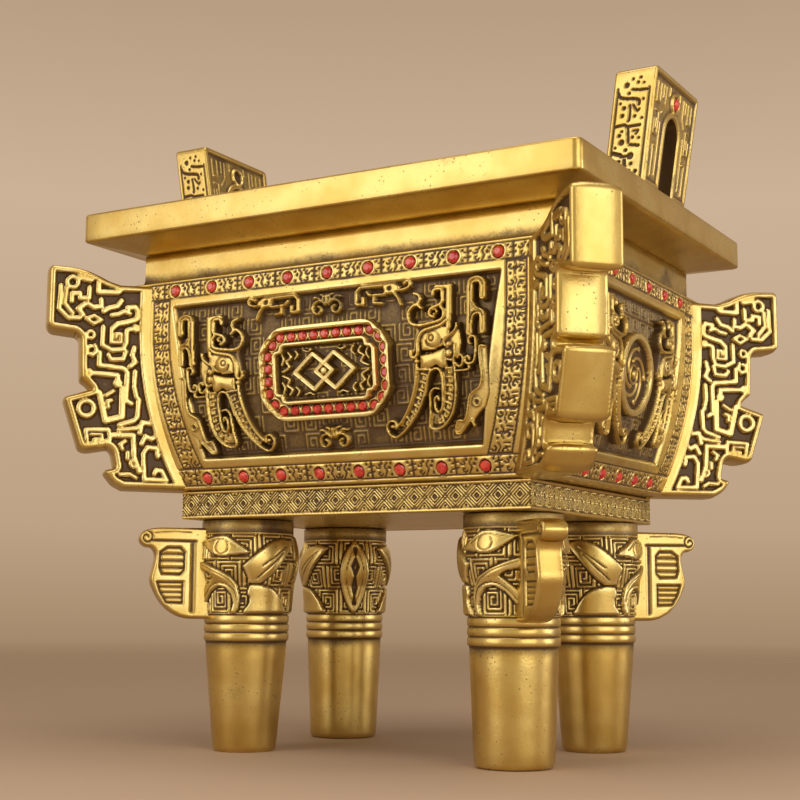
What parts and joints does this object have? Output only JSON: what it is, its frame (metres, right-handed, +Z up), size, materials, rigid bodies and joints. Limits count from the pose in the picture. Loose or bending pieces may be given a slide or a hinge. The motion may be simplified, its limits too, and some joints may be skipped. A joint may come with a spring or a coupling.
{
  "type": "square ding cauldron",
  "caption": "Cast brass square ding: tapered basin under a flat rim on four round legs, with pierced ears, stepped corner flanges, raised birds and rows of red stones.",
  "frame": {"origin": "on the ground, in the middle of the four legs", "axes": "+X along the long side, -Y out of the front, +Z up"},
  "size_m": [0.2564, 0.2084, 0.2658],
  "materials": {
    "brass": "cast brass, polished on the high spots, dark patina in the recesses",
    "red_stone": "red cut glass on a foil back",
    "bolt_steel": "plain zinc-plated steel"
  },
  "bodies": {
    "root": {"rim_frame": "brass", "floor_plate": "brass", "wall_front": "brass", "base_band_front": "brass", "wall_right": "brass", "base_band_right": "brass", "wall_back": "brass", "base_band_back": "brass", "wall_left": "brass", "base_band_left": "brass", "cartouche_front": "brass", "cartouche_back": "brass", "medallion_left": "brass", "medallion_right": "brass", "bird_front_left": "brass", "bird_front_right": "brass", "bird_right_front": "brass", "bird_right_back": "brass", "bird_back_right": "brass", "bird_back_left": "brass", "bird_left_back": "brass", "bird_left_front": "brass", "flange_front_left": "brass", "leg_front_left": "brass", "leg_tab_front_left": "brass", "leg_bolt_front_left": "bolt_steel", "leg_washer_front_left": "bolt_steel", "flange_front_right": "brass", "leg_front_right": "brass", "leg_tab_front_right": "brass", "leg_bolt_front_right": "bolt_steel", "leg_washer_front_right": "bolt_steel", "flange_back_right": "brass", "leg_back_right": "brass", "leg_tab_back_right": "brass", "leg_bolt_back_right": "bolt_steel", "leg_washer_back_right": "bolt_steel", "flange_back_left": "brass", "leg_back_left": "brass", "leg_tab_back_left": "brass", "leg_bolt_back_left": "bolt_steel", "leg_washer_back_left": "bolt_steel", "ear_left": "brass", "ear_stone_left": "red_stone", "ear_right": "brass", "ear_stone_right": "red_stone"}
  },
  "joints": []
}
